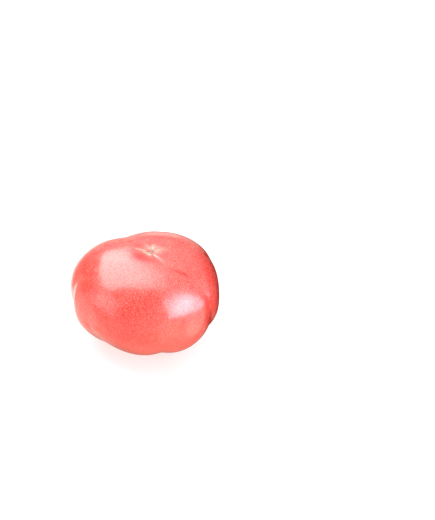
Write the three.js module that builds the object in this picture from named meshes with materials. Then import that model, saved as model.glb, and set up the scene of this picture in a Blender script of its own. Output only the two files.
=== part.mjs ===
// A ripe pink beefsteak tomato, picked and free of its green calyx, standing blossom end up.
//
// It grew as one piece, so it is one solid: broad unequal lobes parted by creases, a shallow dimple
// with the corky blossom scar and its puckers on top, and a funnel with the round stem scar below.
// It stands on small flats, where its weight presses the shoulders round the funnel to the table.
//
// Millimetres, +Z up. The origin is the middle of the base of the fruit's bounding box.

import * as THREE from 'three';
import { mergeVertices } from 'three/addons/utils/BufferGeometryUtils.js';

const DEGREE = Math.PI / 180;

// Main form. The widest level is where the fruit is broadest, and the crown is its blossom end.
const WIDEST_RADIUS = 45.4;
const CROWN_RISE = 32.3;
const SHOULDER_DROP = 30.2;
const SIDE_POWER = 0.95; // under 1, the sides are fuller than an ellipsoid's
const CROWN_POWER = 0.92;
const SHOULDER_POWER = 0.93;

// Seen from above the fruit is neither round nor even: shares of the radius, and where they peak.
const OVAL = { share: 0.018, azimuth: -45 * DEGREE };
const THREE_SIDED = { share: 0.031, azimuth: 57 * DEGREE };
const PLAN_RAMP = [0.1, 1.2]; // polar angles between which the crown takes on that outline
const CROWN_LEAN = new THREE.Vector2(3.8, -1.4); // how far the crown stands off the base's middle

// Broad swells and hollows of the side. Spread is an angle seen from the middle of the fruit.
const SWELLS = [
  { azimuth: 147 * DEGREE, polar: 64 * DEGREE, spread: 0.5, height: 1.7 },
  { azimuth: -123 * DEGREE, polar: 117 * DEGREE, spread: 0.5, height: -1.65 },
  { azimuth: 0 * DEGREE, polar: 84 * DEGREE, spread: 0.4, height: -1.4 },
  { azimuth: 119 * DEGREE, polar: 40 * DEGREE, spread: 0.3, height: -0.9 },
];

// The creases between the lobes, in order round the fruit. Twist is how far a crease turns per
// radian down the side, and crownTurn is how much further it turns close to the crown. It keeps the
// share atCrown of its depth on top, and deepens from the polar angle start on.
const CREASES = [
  { azimuth: -174, depth: 4.0, width: 0.145, twist: 0, crownTurn: 0, atCrown: 0, start: 0.5 },
  { azimuth: -142, depth: 0.9, width: 0.16, twist: 0.25, crownTurn: 0, atCrown: 0, start: 0.5 },
  { azimuth: -69, depth: 3.2, width: 0.21, twist: -0.15, crownTurn: 0, atCrown: 0, start: 0.8 },
  { azimuth: -30, depth: 2.9, width: 0.2, twist: 0.09, crownTurn: -18, atCrown: 0.15, start: 0.6 },
  { azimuth: 25, depth: 2.5, width: 0.27, twist: 0.05, crownTurn: 0, atCrown: 0.1, start: 0.4 },
  { azimuth: 76, depth: 2.5, width: 0.26, twist: -0.05, crownTurn: 0, atCrown: 0.1, start: 0.4 },
  { azimuth: 119, depth: 5.2, width: 0.24, twist: 0, crownTurn: 0, atCrown: 0, start: 0 },
];
const CROWN_TURN_RAMP = [0.3, 0.75]; // polar angles between which that turn dies away
const CREASE_ROUNDING = 0.3; // share of its width that the bottom of a crease is rounded over
const FULL_DEPTH_FROM = 2.1; // polar angle from which every crease has its full depth
const SHOULDER_RIBS = 0.6; // share by which creases are deeper still on the shoulders
const SHOULDER_RAMP = [2.2, 2.8];

// Blossom end: the dimple, the raised scar in it, and the puckers that run out from the scar.
const DIMPLE = { depth: 1.2, radius: 8 };
const SCAR = { height: 0.5, halfLength: 2.9, halfWidth: 1.1, azimuth: 39 * DEGREE };
const PUCKER = { depth: 0.2, width: 0.16, innerRadius: 1.5, outerRadius: 11 };
const PUCKER_AZIMUTHS = [-179, -130, -86, -54, -12, 14, 52, 76, 95, 113, 160];

// Stem end: the funnel that the stem grew out of, and the disc where it broke off.
const FUNNEL = { depth: 11, radius: 11.5, power: 1.8 };
const STEM_SCAR = { height: 0.9, innerRadius: 2.9, outerRadius: 4.2 };

// What the fruit stands on. The slope levels its shoulders, and the press makes them flat.
const STAND_SLOPE = new THREE.Vector2(-0.015, -0.03);
const STAND_RAMP = [2.15, 2.7]; // polar angles between which the slope comes in
const FLAT_PRESS = 0.9;

// Fineness of the surface. Columns crowd towards the creases, and rows towards the two ends.
const COLUMNS_PER_LOBE = 11;
const ROWS = 46;
const COLUMN_CROWDING = 0.45;
const ROW_CROWDING = 0.5;

function smoothstep(low, high, x) {
  const t = THREE.MathUtils.clamp((x - low) / (high - low), 0, 1);
  return t * t * (3 - 2 * t);
}

function angleBetween(a, b) {
  return THREE.MathUtils.euclideanModulo(a - b + Math.PI, 2 * Math.PI) - Math.PI;
}

// Even steps from 0 to 1, moved towards both ends.
function crowd(t, amount) {
  return t - (amount / (2 * Math.PI)) * Math.sin(2 * Math.PI * t);
}

// Azimuth of a column, given as a share of the way round: every crease falls on a column.
function columnAzimuth(share, polar) {
  const along = THREE.MathUtils.euclideanModulo(share, 1) * CREASES.length;
  const lobe = Math.floor(along);
  const start = creaseAzimuth(CREASES[lobe], polar);
  const next = creaseAzimuth(CREASES[(lobe + 1) % CREASES.length], polar);
  const span = THREE.MathUtils.euclideanModulo(next - start, 2 * Math.PI);
  return start + span * crowd(along - Math.floor(along), COLUMN_CROWDING);
}

function creaseAzimuth({ azimuth, twist, crownTurn }, polar) {
  const turn = crownTurn * (1 - smoothstep(...CROWN_TURN_RAMP, polar));
  return (azimuth + turn) * DEGREE + twist * (polar - Math.PI / 2);
}

// How deep the creases cut in at a point of the side, square to the surface.
function creaseDepth(azimuth, polar) {
  const ribs = 1 + SHOULDER_RIBS * smoothstep(...SHOULDER_RAMP, polar);
  let depth = 0;
  for (const crease of CREASES) {
    const off = angleBetween(azimuth, creaseAzimuth(crease, polar)) / crease.width;
    const groove = Math.exp(CREASE_ROUNDING - Math.hypot(off, CREASE_ROUNDING));
    const grown = smoothstep(crease.start, FULL_DEPTH_FROM, polar);
    depth += crease.depth * groove * THREE.MathUtils.lerp(crease.atCrown, 1, grown);
  }
  return depth * ribs * Math.sqrt(Math.max(Math.sin(polar), 0));
}

// How far the swells stand out at a point of the side, square to the surface.
function swellHeight(azimuth, polar) {
  const direction = new THREE.Vector3().setFromSphericalCoords(1, polar, azimuth);
  let height = 0;
  for (const swell of SWELLS) {
    const peak = new THREE.Vector3().setFromSphericalCoords(1, swell.polar, swell.azimuth);
    height += swell.height * Math.exp(-((direction.angleTo(peak) / swell.spread) ** 2));
  }
  return height;
}

// Height added at the blossom end: the dimple and its puckers sink, the scar stands up.
function blossomRelief(radius, azimuth) {
  const dimple = -DIMPLE.depth * Math.exp(-((radius / DIMPLE.radius) ** 2));
  const along = (radius * Math.cos(azimuth - SCAR.azimuth)) / SCAR.halfLength;
  const across = (radius * Math.sin(azimuth - SCAR.azimuth)) / SCAR.halfWidth;
  const scar = SCAR.height * Math.exp(-(along ** 2) - across ** 2);
  const { innerRadius, outerRadius } = PUCKER;
  const ring = smoothstep(0, innerRadius, radius) * (1 - smoothstep(innerRadius, outerRadius, radius));
  let puckers = 0;
  for (const ray of PUCKER_AZIMUTHS) {
    const off = angleBetween(azimuth, ray * DEGREE) / PUCKER.width;
    puckers -= PUCKER.depth * ring * Math.exp(-(off ** 2));
  }
  return dimple + scar + puckers;
}

// Height added at the stem end: the funnel goes up into the fruit, the stem scar hangs in it.
function stemRelief(radius) {
  const funnel = FUNNEL.depth * Math.exp(-((radius / FUNNEL.radius) ** FUNNEL.power));
  const { height, innerRadius, outerRadius } = STEM_SCAR;
  return funnel - height * (1 - smoothstep(innerRadius, outerRadius, radius));
}

// Share of the radius that the oval and three-sided outline adds at a point.
function planShare(azimuth, polar) {
  const oval = OVAL.share * Math.cos(2 * (azimuth - OVAL.azimuth));
  const threeSided = THREE_SIDED.share * Math.cos(3 * (azimuth - THREE_SIDED.azimuth));
  return (oval + threeSided) * smoothstep(...PLAN_RAMP, polar);
}

// A point of the skin. Polar is 0 at the blossom end, a right angle at the widest level.
function skinPoint(azimuth, polar) {
  const sine = Math.max(Math.sin(polar), 0);
  const cosine = Math.cos(polar);
  const upper = cosine >= 0;
  const rise = upper ? CROWN_RISE : SHOULDER_DROP;
  const power = upper ? CROWN_POWER : SHOULDER_POWER;
  const outward = new THREE.Vector2(rise * sine, WIDEST_RADIUS * cosine).normalize();
  const offset = swellHeight(azimuth, polar) - creaseDepth(azimuth, polar);

  let radius = WIDEST_RADIUS * sine ** SIDE_POWER * (1 + planShare(azimuth, polar));
  radius = Math.max(radius + offset * outward.x, 0);
  let height = rise * Math.sign(cosine) * Math.abs(cosine) ** power + offset * outward.y;
  height += upper ? blossomRelief(radius, azimuth) : stemRelief(radius);

  const lean = (height + SHOULDER_DROP) / (CROWN_RISE + SHOULDER_DROP);
  const place = new THREE.Vector2(Math.cos(azimuth), Math.sin(azimuth)).multiplyScalar(radius);
  height += place.dot(STAND_SLOPE) * smoothstep(...STAND_RAMP, polar);
  place.addScaledVector(CROWN_LEAN, lean);
  return new THREE.Vector3(place.x, place.y, height);
}

// Presses whatever is lower than the flats up to their level, as the fruit's weight does.
function pressFlats(positions) {
  let lowest = Infinity;
  for (let i = 0; i < positions.count; i += 1) {
    lowest = Math.min(lowest, positions.getZ(i));
  }
  for (let i = 0; i < positions.count; i += 1) {
    positions.setZ(i, Math.max(positions.getZ(i), lowest + FLAT_PRESS));
  }
}

function fruitGeometry() {
  const sphere = new THREE.SphereGeometry(1, COLUMNS_PER_LOBE * CREASES.length, ROWS);
  const places = sphere.getAttribute('uv');
  const positions = sphere.getAttribute('position');
  for (let i = 0; i < positions.count; i += 1) {
    const polar = Math.PI * crowd(1 - places.getY(i), ROW_CROWDING);
    const azimuth = columnAzimuth(places.getX(i), polar);
    positions.setXYZ(i, ...skinPoint(azimuth, polar));
  }
  pressFlats(positions);
  sphere.deleteAttribute('uv');
  sphere.deleteAttribute('normal');

  const skin = mergeVertices(sphere);
  skin.computeBoundingBox();
  const { min, max } = skin.boundingBox;
  skin.translate(-(min.x + max.x) / 2, -(min.y + max.y) / 2, -min.z);
  skin.computeVertexNormals();
  return skin;
}

const skinMaterial = new THREE.MeshStandardMaterial({
  color: 0xf4605c,
  roughness: 0.32,
  metalness: 0,
});

const fruit = new THREE.Mesh(fruitGeometry(), skinMaterial);
fruit.name = 'fruit';

const pinkTomato = new THREE.Group();
pinkTomato.add(fruit);

export default pinkTomato;
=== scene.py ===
"""A ripe pink beefsteak tomato, blossom end up, on a pale table in soft studio light.

The fruit's skin is one closed mesh, raised by the same formulas as the solid that it replaces, with
the finer relief added: puckers, cork, the fine crack from the scar, and the unevenness of the skin.
Lengths in the formulas are millimetres, and become metres when the mesh is made. Azimuths in the
tables are degrees, as are all angles of the glows and of the camera. Widths and starts of creases,
spreads of swells and ramps over the polar angle are radians. The polar angle runs from the blossom
end down.
"""
import math

import bpy
import numpy as np
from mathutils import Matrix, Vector, noise


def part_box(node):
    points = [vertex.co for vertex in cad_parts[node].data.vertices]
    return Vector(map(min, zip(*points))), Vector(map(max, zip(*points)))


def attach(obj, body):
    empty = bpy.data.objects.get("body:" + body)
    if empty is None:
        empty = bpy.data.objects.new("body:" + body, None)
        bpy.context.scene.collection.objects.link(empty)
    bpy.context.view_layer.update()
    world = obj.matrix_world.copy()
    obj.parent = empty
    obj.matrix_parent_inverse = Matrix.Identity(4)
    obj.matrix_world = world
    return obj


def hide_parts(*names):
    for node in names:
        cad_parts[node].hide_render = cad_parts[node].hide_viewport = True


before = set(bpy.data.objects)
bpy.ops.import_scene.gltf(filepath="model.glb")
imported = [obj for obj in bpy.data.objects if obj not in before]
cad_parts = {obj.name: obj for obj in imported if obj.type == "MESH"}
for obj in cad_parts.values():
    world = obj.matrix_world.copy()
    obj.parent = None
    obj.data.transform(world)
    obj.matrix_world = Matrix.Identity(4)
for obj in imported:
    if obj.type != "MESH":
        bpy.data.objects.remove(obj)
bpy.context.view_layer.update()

MM = 0.001
DEGREE = math.pi / 180

# Main form, as in the solid.
WIDEST_RADIUS = 45.4
CROWN_RISE = 32.3
SHOULDER_DROP = 30.2
SIDE_POWER = 0.95
CROWN_POWER = 0.92
SHOULDER_POWER = 0.93
OVAL = {"share": 0.018, "azimuth": -45}
THREE_SIDED = {"share": 0.031, "azimuth": 57}
PLAN_RAMP = (0.1, 1.2)
CROWN_LEAN = (3.8, -1.4)
SWELLS = [
    {"azimuth": 147, "polar": 64 * DEGREE, "spread": 0.5, "height": 1.7},
    {"azimuth": -123, "polar": 117 * DEGREE, "spread": 0.5, "height": -1.65},
    {"azimuth": 0, "polar": 84 * DEGREE, "spread": 0.4, "height": -1.4},
    {"azimuth": 119, "polar": 40 * DEGREE, "spread": 0.3, "height": -0.9},
]
CREASES = [
    {
        "azimuth": -174, "depth": 4.0, "width": 0.145,
        "twist": 0, "crown_turn": 0, "at_crown": 0, "start": 0.5,
    },
    {
        "azimuth": -142, "depth": 0.9, "width": 0.16,
        "twist": 0.25, "crown_turn": 0, "at_crown": 0, "start": 0.5,
    },
    {
        "azimuth": -69, "depth": 3.2, "width": 0.21,
        "twist": -0.15, "crown_turn": 0, "at_crown": 0, "start": 0.8,
    },
    {
        "azimuth": -30, "depth": 2.9, "width": 0.2,
        "twist": 0.09, "crown_turn": -18, "at_crown": 0.15, "start": 0.6,
    },
    {
        "azimuth": 25, "depth": 2.5, "width": 0.27,
        "twist": 0.05, "crown_turn": 0, "at_crown": 0.1, "start": 0.4,
    },
    {
        "azimuth": 76, "depth": 2.5, "width": 0.26,
        "twist": -0.05, "crown_turn": 0, "at_crown": 0.1, "start": 0.4,
    },
    {
        "azimuth": 119, "depth": 5.2, "width": 0.24,
        "twist": 0, "crown_turn": 0, "at_crown": 0, "start": 0,
    },
]
CROWN_TURN_RAMP = (0.3, 0.75)
CREASE_ROUNDING = 0.3
FULL_DEPTH_FROM = 2.1
SHOULDER_RIBS = 0.6
SHOULDER_RAMP = (2.2, 2.8)
DIMPLE = {"depth": 1.2, "radius": 8}
FUNNEL = {"depth": 11, "radius": 11.5, "power": 1.8}
STEM_SCAR = {"height": 0.9, "inner_radius": 2.9, "outer_radius": 4.2}
STAND_SLOPE = (-0.015, -0.03)
STAND_RAMP = (2.15, 2.7)
FLAT_PRESS = 0.9

# Fineness of the skin's mesh.
COLUMNS_PER_LOBE = 56
ROWS = 224
COLUMN_CROWDING = 0.3
ROW_CROWDING = 0.62

# The unevenness that no skin is free of: (height, length) of its broad and of its small swellings.
# It sets in between two distances from the scars.
BROAD_SWELLING = (0.22, 17)
SMALL_SWELLING = (0.05, 6)
SWELLING_SETS_IN = (6, 14)

# Blossom end: pale rays run out from the scar, each in its own pucker.
# Reach and half width are in millimetres, and strength is how pale the ray is.
RAYS = [
    {"azimuth": 160, "reach": 13, "half_width": 0.5, "strength": 0.8},
    {"azimuth": -179, "reach": 6.5, "half_width": 0.5, "strength": 0.5},
    {"azimuth": 113, "reach": 13, "half_width": 1.0, "strength": 0.25},
    {"azimuth": 95, "reach": 7, "half_width": 0.6, "strength": 0.6},
    {"azimuth": 76, "reach": 10, "half_width": 0.7, "strength": 0.9},
    {"azimuth": 52, "reach": 8, "half_width": 0.9, "strength": 0.65},
    {"azimuth": 14, "reach": 13, "half_width": 1.1, "strength": 0.6},
    {"azimuth": -12, "reach": 10, "half_width": 0.8, "strength": 0.3},
    {"azimuth": -54, "reach": 15, "half_width": 0.6, "strength": 0.4},
    {"azimuth": -86, "reach": 8, "half_width": 0.8, "strength": 0.3},
    {"azimuth": -130, "reach": 6, "half_width": 0.5, "strength": 0.2},
]
PUCKER_DEPTH = 0.13
RAY_START = (1.2, 3)
RAY_FADES_FROM = 0.3

# Between the rays the skin is a deeper red, in patches placed from the scar, in millimetres. The
# strongest patch, on the front left of the scar, is painted shade of the dimple, not the skin's own
# red.
PATCHES_OF_DEEP_RED_AND_SHADE = [
    # Painted shade of the dimple, on the front left of the scar.
    {"place": (-5.2, -4.0), "radius": 3.2, "strength": 0.9},
    {"place": (-2.2, -8.5), "radius": 4.5, "strength": 0.7},
    {"place": (4.5, -9.5), "radius": 4.5, "strength": 0.55},
    {"place": (-9.5, -5.5), "radius": 4.0, "strength": 0.45},
    {"place": (-7.0, 6.5), "radius": 3.5, "strength": 0.6},
    {"place": (4.5, 14), "radius": 4.5, "strength": 0.7},
    {"place": (9.0, -3.5), "radius": 3.5, "strength": 0.35},
]

# The cork of the blossom scar: a bent ridge of small warts, with brown pits between them.
CORK_RIDGE = [(-3.4, -0.9), (-1.6, -1.1), (-0.2, -1.8), (0.9, -0.3), (2.0, 2.2)]
CORK_HALF_WIDTH = 0.45
CORK_HEIGHT = 0.3
WARTS = [
    {"place": (-0.2, -1.8), "radius": 1.3, "height": 0.5},
    {"place": (-1.7, -1.2), "radius": 0.75, "height": 0.3},
    {"place": (-3.2, -0.8), "radius": 0.5, "height": 0.2},
    {"place": (0.8, -2.8), "radius": 0.6, "height": 0.3},
    {"place": (1.0, 0.2), "radius": 0.6, "height": 0.25},
    {"place": (2.1, 2.3), "radius": 0.7, "height": 0.3},
]
PITS = [
    {"place": (-2.6, -1.4), "radius": 0.42, "depth": 0.25},
    {"place": (-1.0, -0.5), "radius": 0.42, "depth": 0.25},
    {"place": (1.0, -1.4), "radius": 0.45, "depth": 0.25},
    {"place": (-0.9, -3.1), "radius": 0.42, "depth": 0.2},
    {"place": (1.6, 1.2), "radius": 0.45, "depth": 0.25},
    {"place": (1.3, 3.1), "radius": 0.6, "depth": 0.3},
]

# The fine crack down the front right, in line with the scar: (radius, azimuth) of the points on it.
CRACK = [(15.0, -50.5), (18.5, -49), (22.6, -43.5), (26.4, -37.5), (31, -35)]
CRACK_HALF_WIDTH = 0.9
CRACK_DEPTH = 0.12

# Where the skin's colours change: how corky the ridge and a wart of full height are, how dark a pit
# is, how far the blush round each scar reaches, the edge of the stem's scar, and the polar angles
# over which the shoulders turn orange and the pale dots thin out.
RIDGE_CORKINESS = 0.75
WART_CORKINESS = 2
PIT_DARKNESS = 4
BLOSSOM_BLUSH = 9
STEM_END_BLUSH = 13
STEM_SCAR_EDGE = (3.6, 4.6)
SHOULDERS = (1.35, 2.3)
DOTS_THIN_OUT = (0.8, 2.1)
DOTS_LOST = 0.85

# Where the camera stands, from the axis of the fruit at its widest level. The lens and the sensor
# are in millimetres, and the sensor lies along the frame's long side.
CAMERA_PLACE = (42.8, -713.9, 548.4)
CAMERA_DIP = 36.28 * DEGREE
CAMERA_LENS = 105.6
CAMERA_SENSOR = 36

# The studio's surroundings: how bright the sky and the ground are, over which heights of a
# direction the one gives way to the other in strength and in tint, and glows in them. A glow is
# full within its inner angle and gone at its outer one, and one of negative strength is a dark
# place. Azimuth 0 is towards the camera here, and +90 is to the right.
SKY_STRENGTH = 0.14
GROUND_STRENGTH = 0.42
STRENGTH_RAMP = (-0.15, 0.1)
SKY_TINT = (1, 1, 1, 1)
GROUND_TINT = (1, 0.96, 0.84, 1)
TINT_RAMP = (-0.3, 0.3)
GLOWS = [
    {"azimuth": -156, "elevation": -31, "inner": 10, "outer": 22, "strength": 0.9},
    {"azimuth": -180, "elevation": -5, "inner": 4, "outer": 10, "strength": 0.9},
    {"azimuth": -162, "elevation": 3, "inner": 5, "outer": 15, "strength": 0.3},
    {"azimuth": 167, "elevation": -2, "inner": 4, "outer": 10, "strength": 0.25},
    {"azimuth": -179, "elevation": 20, "inner": 4, "outer": 14, "strength": 0.55},
    {"azimuth": 178, "elevation": 34, "inner": 12, "outer": 34, "strength": 0.3},
    {"azimuth": 174, "elevation": 57, "inner": 10, "outer": 24, "strength": 0.6},
    {"azimuth": -128, "elevation": -45, "inner": 8, "outer": 20, "strength": 0.5},
    {"azimuth": -10, "elevation": -35, "inner": 30, "outer": 80, "strength": 0.5},
    {"azimuth": -98, "elevation": -22, "inner": 12, "outer": 28, "strength": 0.92},
    {"azimuth": 45, "elevation": -20, "inner": 15, "outer": 45, "strength": 0.7},
    {"azimuth": 76, "elevation": -23, "inner": 18, "outer": 33, "strength": 1.15},
    {"azimuth": 130, "elevation": 35, "inner": 15, "outer": 45, "strength": 0.55},
    {"azimuth": 132, "elevation": -14, "inner": 18, "outer": 33, "strength": -0.85},
    {"azimuth": 157, "elevation": -33, "inner": 12, "outer": 18, "strength": -0.7},
    {"azimuth": 180, "elevation": -75, "inner": 10, "outer": 40, "strength": -0.12},
]

# The softboxes, in metres and degrees. add_softbox says what their fades and leans are, and
# add_upright_softbox what their limits across and up are.
EVEN = ((0.02, 0.02), (0.02, 0.02))
UPRIGHT = (0, 0, 0)
WHITE = (1, 1, 1)
COOL_WHITE = (0.96, 0.91, 1.07)

# Overhead, reaching far to the back on the left: the broad pale patch on the crown.
OVERHEAD = {
    "centre": (-0.55, 2.43, 1.4),
    "facing": (0, 0, -1),
    "size": (2.73, 5.2),
    "radiance": 4.8,
    "fades": ((0.1, 0.33), (0.04, 0.6)),
    "leans": (0, 0.78, 0),
}

# Front right: the small bright patch. Its core stands in front of it, because two lights in one
# plane hide each other in a mirror.
FRONT_RIGHT = {
    "azimuth": 62,
    "distance": 1.3,
    "across": (-0.78, 1.12),
    "up": (-0.33, 2.6),
    "radiance": 5.8,
    "fades": ((0.1, 0.16), (0.09, 0.28)),
    "leans": (0, 0.4, 0.2),
    "colour": COOL_WHITE,
}
FRONT_RIGHT_CORE = {
    "azimuth": 62,
    "distance": 1.27,
    "across": (-0.6, 0.65),
    "up": (0.05, 1.6),
    "radiance": 4.6,
    "fades": ((0.3, 0.4), (0.4, 0.4)),
    "colour": COOL_WHITE,
}

# Front left: a faint patch.
FRONT_LEFT = {
    "azimuth": -75,
    "distance": 1.3,
    "across": (-0.45, 0.45),
    "up": (-0.05, 0.9),
    "radiance": 2.3,
    "fades": ((0.35, 0.35), (0.3, 0.3)),
}

# Wide fills in front and above, and the light that a pale table throws back up.
FILLS = {
    "front_fill": {
        "centre": (0.3, -1.4, 0.7),
        "facing": (-0.3, 1.4, -0.7),
        "size": (2.5, 1.7),
        "radiance": 2.2,
    },
    "top_fill": {
        "centre": (1.1, 0.3, 1.2),
        "facing": (-1.1, -0.3, -1.2),
        "size": (2.0, 2.0),
        "radiance": 1.5,
    },
    "bounce": {
        "centre": (0, 0, -0.01),
        "facing": (0, 0, 1),
        "size": (1.6, 1.6),
        "radiance": 0.5,
    },
}

# The floor, in metres.
FLOOR_REACH = 12
FLOOR_CLOUD_SCALE = 3
FLOOR_TONES = (0.42, 0.42, 0.42, 1), (0.44, 0.44, 0.44, 1)
FLOOR_GLOW = 0.6

# Fineness of the skin's textures: how many cells of each there are to a metre.
CLOUD_SCALE = 42
WARMTH_SCALE = 28
DOT_SCALE = 2100
GRAIN_SCALE = 1000
CRUMB_SCALE = 1500
SHEEN_SCALE = 120
PORE_SCALE = 700

# Fineness of the streaks that run from pole to pole, over the vector that add_masks stores for them.
STREAK_SCALE = 26
FIBRE_SCALE = 60
FUNNEL_SCALE = 12
STREAK_STRETCH = 0.12

# Height of the dots, the pores and the cork's crumbs in the bump, in metres.
DOT_RELIEF = 0.00003
PORE_RELIEF = 0.00004
CRUMB_RELIEF = 0.0003


def smoothstep(low, high, x):
    t = np.clip((x - low) / (high - low), 0, 1)
    return t * t * (3 - 2 * t)


def angle_between(a, b):
    return (a - b + math.pi) % (2 * math.pi) - math.pi


def crowd(t, amount):
    """Even steps from 0 to 1, moved towards both ends."""
    return t - (amount / (2 * math.pi)) * np.sin(2 * math.pi * t)


def crease_azimuth(crease, polar):
    turn = crease["crown_turn"] * (1 - smoothstep(*CROWN_TURN_RAMP, polar))
    return (crease["azimuth"] + turn) * DEGREE + crease["twist"] * (polar - math.pi / 2)


def column_azimuths(polar):
    """The azimuth of every column at each polar angle: every crease falls on a column."""
    share = np.arange(COLUMNS_PER_LOBE * len(CREASES)) / COLUMNS_PER_LOBE
    azimuth = np.zeros((len(polar), len(share)))
    for lobe, crease in enumerate(CREASES):
        start = crease_azimuth(crease, polar)
        following = crease_azimuth(CREASES[(lobe + 1) % len(CREASES)], polar)
        span = (following - start) % (2 * math.pi)
        mine = (share >= lobe) & (share < lobe + 1)
        steps = crowd(share[mine] - lobe, COLUMN_CROWDING)
        azimuth[:, mine] = start[:, None] + span[:, None] * steps
    return azimuth


def groove(azimuth, polar, crease):
    """1 on the crease's line, falling to 0 on both sides of it."""
    off = angle_between(azimuth, crease_azimuth(crease, polar)) / crease["width"]
    return np.exp(CREASE_ROUNDING - np.hypot(off, CREASE_ROUNDING))


def crease_depth(azimuth, polar):
    ribs = 1 + SHOULDER_RIBS * smoothstep(*SHOULDER_RAMP, polar)
    depth = 0
    for crease in CREASES:
        grown = smoothstep(crease["start"], FULL_DEPTH_FROM, polar)
        kept = crease["at_crown"] + (1 - crease["at_crown"]) * grown
        depth = depth + crease["depth"] * kept * groove(azimuth, polar, crease)
    return depth * ribs * np.sqrt(np.maximum(np.sin(polar), 0))


def swell_height(azimuth, polar):
    height = 0
    for swell in SWELLS:
        across = np.sin(polar) * math.sin(swell["polar"]) * np.cos(azimuth - swell["azimuth"] * DEGREE)
        cosine = across + np.cos(polar) * math.cos(swell["polar"])
        angle = np.arccos(np.clip(cosine, -1, 1))
        height = height + swell["height"] * np.exp(-((angle / swell["spread"]) ** 2))
    return height


def plan_share(azimuth, polar):
    oval = OVAL["share"] * np.cos(2 * (azimuth - OVAL["azimuth"] * DEGREE))
    corner = THREE_SIDED["azimuth"] * DEGREE
    three_sided = THREE_SIDED["share"] * np.cos(3 * (azimuth - corner))
    return (oval + three_sided) * smoothstep(*PLAN_RAMP, polar)


def ray_masks(radius, azimuth):
    """How much of a ray there is at each point of the crown: its pucker, and its pale colour."""
    pucker = 0
    pale = 0
    for ray in RAYS:
        off = angle_between(azimuth, ray["azimuth"] * DEGREE)
        across = radius * np.sin(np.clip(off, -math.pi / 2, math.pi / 2)) / ray["half_width"]
        widening = 1 + radius / ray["reach"]
        fades_from = RAY_FADES_FROM * ray["reach"]
        along = smoothstep(*RAY_START, radius) * (1 - smoothstep(fades_from, ray["reach"], radius))
        ridge = np.exp(-((across / widening) ** 2)) * along
        pucker = np.maximum(pucker, ridge)
        pale = np.maximum(pale, ridge * ray["strength"])
    return pucker, pale


def distance_to_ridge(x, y):
    """Distance from the bent line along the middle of the cork."""
    nearest = np.full(np.shape(x), np.inf)
    for (ax, ay), (bx, by) in zip(CORK_RIDGE, CORK_RIDGE[1:]):
        length = (bx - ax) ** 2 + (by - ay) ** 2
        t = np.clip(((x - ax) * (bx - ax) + (y - ay) * (by - ay)) / length, 0, 1)
        nearest = np.minimum(nearest, np.hypot(x - ax - t * (bx - ax), y - ay - t * (by - ay)))
    return nearest


def spots(x, y, marks, size):
    """The sum of round spots, each as strong as its own value for size."""
    total = 0
    for mark in marks:
        across = np.hypot(x - mark["place"][0], y - mark["place"][1]) / mark["radius"]
        total = total + mark[size] * np.exp(-(across**2))
    return total


def crack_mask(radius, azimuth):
    """1 along the fine crack, which fades at both ends."""
    reach = [point[0] for point in CRACK]
    line = np.interp(radius, reach, [point[1] * DEGREE for point in CRACK])
    across = radius * angle_between(azimuth, line) / CRACK_HALF_WIDTH
    along = smoothstep(reach[0], reach[2], radius) * (1 - smoothstep(reach[-2], reach[-1], radius))
    return np.exp(-(across**2)) * along


def blossom_relief(radius, azimuth):
    x = radius * np.cos(azimuth)
    y = radius * np.sin(azimuth)
    dimple = -DIMPLE["depth"] * np.exp(-((radius / DIMPLE["radius"]) ** 2))
    pucker, _ = ray_masks(radius, azimuth)
    cork = CORK_HEIGHT * np.exp(-((distance_to_ridge(x, y) / CORK_HALF_WIDTH) ** 2))
    cork = cork + spots(x, y, WARTS, "height") - spots(x, y, PITS, "depth")
    crack = CRACK_DEPTH * crack_mask(radius, azimuth)
    return dimple - PUCKER_DEPTH * pucker + cork - crack


def stem_relief(radius):
    funnel = FUNNEL["depth"] * np.exp(-((radius / FUNNEL["radius"]) ** FUNNEL["power"]))
    edge = smoothstep(STEM_SCAR["inner_radius"], STEM_SCAR["outer_radius"], radius)
    return funnel - STEM_SCAR["height"] * (1 - edge)


def skin_points(azimuth, polar):
    """Points of the skin, in millimetres from the axis at the widest level, and their radius."""
    sine = np.maximum(np.sin(polar), 0)
    cosine = np.cos(polar)
    upper = cosine >= 0
    rise = np.where(upper, CROWN_RISE, SHOULDER_DROP)
    power = np.where(upper, CROWN_POWER, SHOULDER_POWER)
    steepness = np.hypot(rise * sine, WIDEST_RADIUS * cosine)
    offset = swell_height(azimuth, polar) - crease_depth(azimuth, polar)

    radius = WIDEST_RADIUS * sine**SIDE_POWER * (1 + plan_share(azimuth, polar))
    radius = np.maximum(radius + offset * rise * sine / steepness, 0)
    height = rise * np.sign(cosine) * np.abs(cosine) ** power
    height = height + offset * WIDEST_RADIUS * cosine / steepness
    height = height + np.where(upper, blossom_relief(radius, azimuth), stem_relief(radius))

    lean = (height + SHOULDER_DROP) / (CROWN_RISE + SHOULDER_DROP)
    x = radius * np.cos(azimuth)
    y = radius * np.sin(azimuth)
    slope = (x * STAND_SLOPE[0] + y * STAND_SLOPE[1]) * smoothstep(*STAND_RAMP, polar)
    places = np.stack([x + CROWN_LEAN[0] * lean, y + CROWN_LEAN[1] * lean, height + slope], -1)
    return places, radius


def per_vertex(grid):
    """A grid's values in the order of the vertices: one pole, the rings, and the other pole."""
    rings = grid[1:-1].reshape(-1, *grid.shape[2:])
    return np.concatenate([grid[:1, 0], rings, grid[-1:, 0]])


def grid_faces(rows, columns):
    """Faces of a ball of rings between two poles, which are the first and the last vertex."""
    def ring(row, column):
        return 1 + row * columns + column % columns

    faces = []
    last = rows * columns + 1
    for column in range(columns):
        faces.append((0, ring(0, column), ring(0, column + 1)))
        faces.append((last, ring(rows - 1, column + 1), ring(rows - 1, column)))
        for row in range(rows - 1):
            corners = ring(row, column), ring(row + 1, column), ring(row + 1, column + 1)
            faces.append((*corners, ring(row, column + 1)))
    return faces


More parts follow.
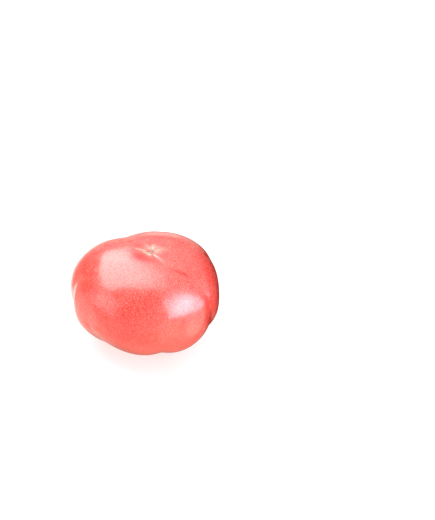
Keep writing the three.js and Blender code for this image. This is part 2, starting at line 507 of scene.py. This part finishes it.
def unevenness(places):
    total = np.zeros(len(places))
    for height, length in (BROAD_SWELLING, SMALL_SWELLING):
        total += [height * noise.noise(Vector(place) / length) for place in places]
    return total


def make_skin():
    """The skin's object, and where the axis at the widest level came to lie, in metres."""
    polar = math.pi * crowd(np.arange(ROWS + 1) / ROWS, ROW_CROWDING)
    azimuth = column_azimuths(polar)
    azimuth[[0, -1]] = 0
    grid, radius = skin_points(azimuth, polar[:, None])
    places = per_vertex(grid)
    around = per_vertex(azimuth)
    reach = per_vertex(radius)
    down = per_vertex(np.broadcast_to(polar[:, None], azimuth.shape))

    directions = places / np.linalg.norm(places, axis=1, keepdims=True)
    away_from_scars = smoothstep(*SWELLING_SETS_IN, reach)
    places = places + directions * (unevenness(places) * away_from_scars)[:, None]
    places[:, 2] = np.maximum(places[:, 2], places[:, 2].min() + FLAT_PRESS)

    low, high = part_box("fruit")
    shift = (Vector(low) + Vector(high) - MM * (Vector(places.min(0)) + Vector(places.max(0)))) / 2
    shift.z = -MM * places[:, 2].min()

    mesh = bpy.data.meshes.new("skin")
    corners = [Vector(place) * MM + shift for place in places]
    mesh.from_pydata(corners, [], grid_faces(ROWS - 1, azimuth.shape[1]))
    mesh.polygons.foreach_set("use_smooth", [True] * len(mesh.polygons))
    add_masks(mesh, around, down, reach)
    skin = bpy.data.objects.new("skin", mesh)
    bpy.context.collection.objects.link(skin)
    return skin, shift


def add_masks(mesh, azimuth, polar, radius):
    """Stores where each marking of the skin lies, for the material to colour."""
    crown = np.cos(polar) >= 0
    x = radius * np.cos(azimuth)
    y = radius * np.sin(azimuth)
    _, pale = ray_masks(radius, azimuth)
    cork = np.exp(-((distance_to_ridge(x, y) / CORK_HALF_WIDTH) ** 2))
    cork = RIDGE_CORKINESS * cork + WART_CORKINESS * spots(x, y, WARTS, "height")
    deepest = max(crease["depth"] for crease in CREASES)
    creases = 0
    for crease in CREASES:
        creases = np.maximum(creases, crease["depth"] / deepest * groove(azimuth, polar, crease))
    masks = {
        "rays": pale * crown,
        "deep_red_and_shade": spots(x, y, PATCHES_OF_DEEP_RED_AND_SHADE, "strength") * crown,
        "cork": np.clip(cork, 0, 1) * crown,
        "pits": np.clip(PIT_DARKNESS * spots(x, y, PITS, "depth"), 0, 1) * crown,
        "crack": crack_mask(radius, azimuth) * crown,
        "creases": creases * np.sin(polar),
        "blossom": np.exp(-((radius / BLOSSOM_BLUSH) ** 2)) * crown,
        "shoulders": smoothstep(*SHOULDERS, polar),
        "dotted": 1 - DOTS_LOST * smoothstep(*DOTS_THIN_OUT, polar),
        "stem_end": np.exp(-((radius / STEM_END_BLUSH) ** 2)) * ~crown,
        "stem_scar": (1 - smoothstep(*STEM_SCAR_EDGE, radius)) * ~crown,
    }
    for name, values in masks.items():
        attribute = mesh.attributes.new(name, "FLOAT", "POINT")
        attribute.data.foreach_set("value", values.astype(np.float32))
    streaks = np.stack([np.cos(azimuth), np.sin(azimuth), STREAK_STRETCH * polar], -1)
    attribute = mesh.attributes.new("streaks", "FLOAT_VECTOR", "POINT")
    attribute.data.foreach_set("vector", streaks.astype(np.float32).ravel())


class Nodes:
    """Adds shader nodes to their owner, each call giving back the output that it makes."""

    def __init__(self, owner):
        owner.use_nodes = True
        self.tree = owner.node_tree
        self.tree.nodes.clear()

    def add(self, kind, inputs=None, **settings):
        node = self.tree.nodes.new(kind)
        for name, value in settings.items():
            setattr(node, name, value)
        for name, value in (inputs or {}).items():
            self.put(node.inputs[name], value)
        return node

    def put(self, socket, value):
        if isinstance(value, bpy.types.NodeSocket):
            self.tree.links.new(value, socket)
        else:
            socket.default_value = value

    def place(self):
        return self.add("ShaderNodeTexCoord").outputs["Object"]

    def mask(self, name):
        return self.add("ShaderNodeAttribute", attribute_name=name).outputs["Fac"]

    def vector(self, name):
        return self.add("ShaderNodeAttribute", attribute_name=name).outputs["Vector"]

    def noise(self, place, scale, detail=2.0, roughness=0.5):
        inputs = {"Vector": place, "Scale": scale, "Detail": detail, "Roughness": roughness}
        return self.add("ShaderNodeTexNoise", inputs).outputs["Fac"]

    def dots(self, place, scale):
        """0 in the middle of each cell and larger towards its edge, and a grey for the cell."""
        node = self.add("ShaderNodeTexVoronoi", {"Vector": place, "Scale": scale})
        return node.outputs["Distance"], node.outputs["Color"]

    def math(self, operation, a, b=0.0, clamp=False):
        node = self.add("ShaderNodeMath", operation=operation, use_clamp=clamp)
        self.put(node.inputs[0], a)
        self.put(node.inputs[1], b)
        return node.outputs[0]

    def times(self, a, b):
        return self.math("MULTIPLY", a, b, clamp=True)

    def ramp(self, value, low, high, start=0.0, end=1.0):
        inputs = {"Value": value, "From Min": low, "From Max": high, "To Min": start, "To Max": end}
        node = self.add("ShaderNodeMapRange", inputs, interpolation_type="SMOOTHSTEP")
        return node.outputs["Result"]

    def mix(self, share, first, second):
        node = self.add("ShaderNodeMix", data_type="RGBA")
        self.put(node.inputs[0], share)
        self.put(node.inputs[6], first)
        self.put(node.inputs[7], second)
        return node.outputs[2]

    def bump(self, height, distance, normal=None):
        node = self.add("ShaderNodeBump", {"Height": height, "Distance": distance})
        if normal is not None:
            self.put(node.inputs["Normal"], normal)
        return node.outputs["Normal"]


RED = (0.64, 0.013, 0.009, 1)
PINK = (0.68, 0.031, 0.024, 1)
ORANGE = (0.80, 0.075, 0.038, 1)
PALE_PINK = (0.76, 0.22, 0.18, 1)
DEEP_RED_AND_SHADE = (0.58, 0.012, 0.012, 1)
CRACK_RED_AND_SHADE = (0.5, 0.002, 0.002, 1)
SPECK = (0.79, 0.28, 0.23, 1)
CREAM = (0.74, 0.38, 0.27, 1)
CORK = (0.58, 0.40, 0.28, 1)
BROWN = (0.22, 0.10, 0.06, 1)
STEM_PALE = (0.72, 0.38, 0.15, 1)
STEM_CORK = (0.42, 0.26, 0.12, 1)


def skin_material():
    material = bpy.data.materials.new("skin")
    n = Nodes(material)
    place = n.place()
    streaks = n.vector("streaks")

    # Ripening is never even: red and pink clouds, faint streaks, and warmer shoulders.
    clouds = n.ramp(n.noise(place, CLOUD_SCALE, 3), 0.35, 0.68)
    colour = n.mix(clouds, RED, PINK)
    warm = n.ramp(n.noise(place, WARMTH_SCALE, 2), 0.5, 0.75, 0, 0.3)
    colour = n.mix(warm, colour, ORANGE)
    colour = n.mix(n.times(n.mask("shoulders"), 0.75), colour, ORANGE)
    streak = n.ramp(n.noise(streaks, STREAK_SCALE, 4, 0.6), 0.52, 0.8, 0, 0.3)
    colour = n.mix(streak, colour, PALE_PINK)
    colour = n.mix(n.times(n.mask("creases"), 0.2), colour, ORANGE)

    # Fine pale dots under the skin, denser towards the crown.
    distance, cell = n.dots(place, DOT_SCALE)
    dot = n.times(n.ramp(distance, 0.55, 0.2), n.ramp(cell, 0.25, 0.55))
    dotted = n.mask("dotted")
    colour = n.mix(n.times(dot, dotted), colour, SPECK)
    grain = n.ramp(n.noise(place, GRAIN_SCALE, 2, 0.6), 0.45, 0.72, 0, 0.34)
    colour = n.mix(n.times(grain, dotted), colour, PALE_PINK)

    # The blossom end: deeper red between pale, fibrous rays, with painted shade of the dimple in the
    # patch on the front left of the scar.
    colour = n.mix(n.times(n.mask("blossom"), 0.3), colour, PALE_PINK)
    colour = n.mix(n.times(n.mask("deep_red_and_shade"), 0.9), colour, DEEP_RED_AND_SHADE)
    fibres = n.ramp(n.noise(streaks, FIBRE_SCALE, 3, 0.6), 0.3, 0.65, 0.5, 1.1)
    colour = n.mix(n.times(n.mask("rays"), fibres), colour, CREAM)
    # The crack's darker red is partly its own colour and partly painted shade of its groove, which is
    # kept shallow.
    colour = n.mix(n.mask("crack"), colour, CRACK_RED_AND_SHADE)

    # The stem end: the skin turns yellowish in the funnel.
    uneven = n.ramp(n.noise(streaks, FUNNEL_SCALE, 3), 0.3, 0.7, 0.5, 1.1)
    colour = n.mix(n.times(n.mask("stem_end"), uneven), colour, STEM_PALE)

    # Cork on both scars.
    crumbs = n.noise(place, CRUMB_SCALE, 3, 0.7)
    ragged = n.math("MULTIPLY", n.mask("cork"), n.ramp(crumbs, 0.25, 0.75, 0.5, 1.5))
    cork = n.ramp(ragged, 0.35, 0.65)
    colour = n.mix(cork, colour, CORK)
    pit = n.ramp(n.math("ADD", n.mask("pits"), n.times(crumbs, 0.3)), 0.45, 0.8)
    colour = n.mix(pit, colour, BROWN)
    scar = n.mask("stem_scar")
    tan = n.mix(n.ramp(crumbs, 0.35, 0.65), STEM_CORK, CORK)
    colour = n.mix(scar, colour, tan)

    corky = n.math("MAXIMUM", cork, scar)
    rough = n.ramp(n.noise(place, SHEEN_SCALE, 3), 0.3, 0.7, 0.26, 0.34)
    rough = n.math("ADD", rough, n.times(corky, 0.45))

    dimpled = n.bump(dot, DOT_RELIEF)
    porous = n.bump(n.noise(place, PORE_SCALE, 3, 0.55), PORE_RELIEF, dimpled)
    bump = n.bump(n.times(crumbs, corky), CRUMB_RELIEF, porous)

    inputs = {
        "Base Color": colour,
        "Roughness": rough,
        "Normal": bump,
        "IOR": 1.45,
        "Subsurface Weight": 0.3,
        "Subsurface Radius": (1.0, 0.25, 0.15),
        "Subsurface Scale": 0.0035,
        "Coat Weight": 1.0,
        "Coat Roughness": 0.18,
        "Coat IOR": 1.5,
    }
    shader = n.add("ShaderNodeBsdfPrincipled", inputs)
    n.add("ShaderNodeOutputMaterial", {"Surface": shader.outputs["BSDF"]})
    return material


def floor_material():
    material = bpy.data.materials.new("floor")
    n = Nodes(material)
    tone = n.ramp(n.noise(n.place(), FLOOR_CLOUD_SCALE, 2), 0.3, 0.7)
    colour = n.mix(tone, *FLOOR_TONES)
    inputs = {
        "Base Color": colour,
        "Roughness": 0.6,
        "Emission Color": (1, 1, 1, 1),
        "Emission Strength": FLOOR_GLOW,
    }
    shader = n.add("ShaderNodeBsdfPrincipled", inputs)
    n.add("ShaderNodeOutputMaterial", {"Surface": shader.outputs["BSDF"]})
    return material


def make_floor():
    """A floor that shows and takes shadows. What the fruit mirrors below it is the ground's glow."""
    mesh = bpy.data.meshes.new("floor")
    sides = [(-1, -1), (1, -1), (1, 1), (-1, 1)]
    corners = [(FLOOR_REACH * x, FLOOR_REACH * y, 0) for x, y in sides]
    mesh.from_pydata(corners, [], [(0, 1, 2, 3)])
    mesh.materials.append(floor_material())
    floor = bpy.data.objects.new("floor", mesh)
    floor.visible_diffuse = False
    floor.visible_glossy = False
    floor.visible_shadow = False
    bpy.context.collection.objects.link(floor)


def add_softbox(name, centre, facing, size, radiance, fades=EVEN, leans=UPRIGHT, colour=WHITE):
    """A rectangular softbox, (width, height) in size, whose face looks along facing.

    Its radiance is how bright its middle looks, with 1 as white. It fades over shares of its size
    towards its (low, high) ends across and its (low, high) ends up. The first two leans are how far
    the low and the high edge move towards the low side on the way up, as shares of the width, and the
    third is how far the lower edge sinks towards the high side, as a share of the height.
    """
    data = bpy.data.lights.new(name, "AREA")
    data.shape = "RECTANGLE"
    data.size, data.size_y = size
    data.energy = radiance * math.pi * size[0] * size[1]
    data.color = colour
    n = Nodes(data)
    face = n.add("ShaderNodeNewGeometry").outputs["Parametric"]
    place = n.add("ShaderNodeSeparateXYZ", {"Vector": face})
    across, up = place.outputs["X"], place.outputs["Y"]
    from_low = n.math("ADD", across, n.math("MULTIPLY", up, leans[0]))
    from_high = n.math("ADD", across, n.math("MULTIPLY", up, leans[1]))
    strength = n.ramp(from_low, leans[0], leans[0] + fades[0][0])
    strength = n.times(strength, n.ramp(from_high, 1, 1 - fades[0][1]))
    sunk = n.math("MULTIPLY", n.math("SUBTRACT", 1, across), leans[2])
    strength = n.times(strength, n.ramp(n.math("SUBTRACT", up, sunk), 0, fades[1][0]))
    strength = n.times(strength, n.ramp(up, 1, 1 - fades[1][1]))
    emission = n.add("ShaderNodeEmission", {"Strength": strength})
    n.add("ShaderNodeOutputLight", {"Surface": emission.outputs["Emission"]})

    light = bpy.data.objects.new(name, data)
    light.location = centre
    light.rotation_euler = Vector(facing).to_track_quat("-Z", "Y").to_euler()
    bpy.context.collection.objects.link(light)
    return light


def add_upright_softbox(
    name, azimuth, distance, across, up, radiance, fades=EVEN, leans=UPRIGHT, colour=WHITE
):
    """A softbox that stands to one side. Azimuth is from the camera's side, round to the right.

    across and up are its (low, high) limits as shares of its distance.
    """
    angle = azimuth * DEGREE
    out = Vector((math.sin(angle), -math.cos(angle), 0))
    right = Vector((math.cos(angle), math.sin(angle), 0))
    middle = [sum(limits) / 2 for limits in (across, up)]
    centre = distance * (out + right * middle[0] + Vector((0, 0, middle[1])))
    size = [distance * (limits[1] - limits[0]) for limits in (across, up)]
    return add_softbox(name, centre, -out, size, radiance, fades, leans, colour)


def make_lights():
    add_softbox("overhead", **OVERHEAD)

    # These two show in the gloss alone.
    window = add_upright_softbox("front_right", **FRONT_RIGHT)
    core = add_upright_softbox("front_right_core", **FRONT_RIGHT_CORE)
    window.visible_diffuse = False
    core.visible_diffuse = False

    add_upright_softbox("front_left", **FRONT_LEFT)

    # The fills light the skin without showing in its gloss.
    for name, values in FILLS.items():
        fill = add_softbox(name, **values)
        fill.visible_glossy = False
        fill.visible_camera = False


def make_surroundings():
    world = bpy.data.worlds.new("studio")
    n = Nodes(world)
    direction = n.add("ShaderNodeTexCoord").outputs["Generated"]
    height = n.add("ShaderNodeSeparateXYZ", {"Vector": direction}).outputs["Z"]
    strength = n.ramp(height, *STRENGTH_RAMP, GROUND_STRENGTH, SKY_STRENGTH)
    for glow in GLOWS:
        azimuth = glow["azimuth"] * DEGREE
        elevation = glow["elevation"] * DEGREE
        level = math.cos(elevation)
        middle = level * math.sin(azimuth), -level * math.cos(azimuth), math.sin(elevation)
        towards = n.add("ShaderNodeVectorMath", operation="DOT_PRODUCT")
        n.put(towards.inputs[0], direction)
        n.put(towards.inputs[1], middle)
        inner = math.cos(glow["inner"] * DEGREE)
        outer = math.cos(glow["outer"] * DEGREE)
        shine = n.ramp(towards.outputs["Value"], outer, inner, 0, glow["strength"])
        strength = n.math("ADD", strength, shine)
    strength = n.math("MAXIMUM", strength, 0.0)
    tint = n.mix(n.ramp(height, *TINT_RAMP), GROUND_TINT, SKY_TINT)
    background = n.add("ShaderNodeBackground", {"Color": tint, "Strength": strength})
    n.add("ShaderNodeOutputWorld", {"Surface": background.outputs["Background"]})
    bpy.context.scene.world = world


def make_camera(axis_place):
    data = bpy.data.cameras.new("camera")
    data.lens = CAMERA_LENS
    data.sensor_width = CAMERA_SENSOR
    data.clip_start = 0.01
    camera = bpy.data.objects.new("camera", data)
    camera.location = Vector(CAMERA_PLACE) * MM + axis_place
    camera.rotation_euler = (math.pi / 2 - CAMERA_DIP, 0, 0)
    bpy.context.collection.objects.link(camera)
    bpy.context.scene.camera = camera


skin, axis_place = make_skin()
skin.data.materials.append(skin_material())
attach(skin, "root")
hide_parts("fruit")
make_floor()
make_lights()
make_surroundings()
make_camera(axis_place)
bpy.context.scene.view_settings.view_transform = "Standard"
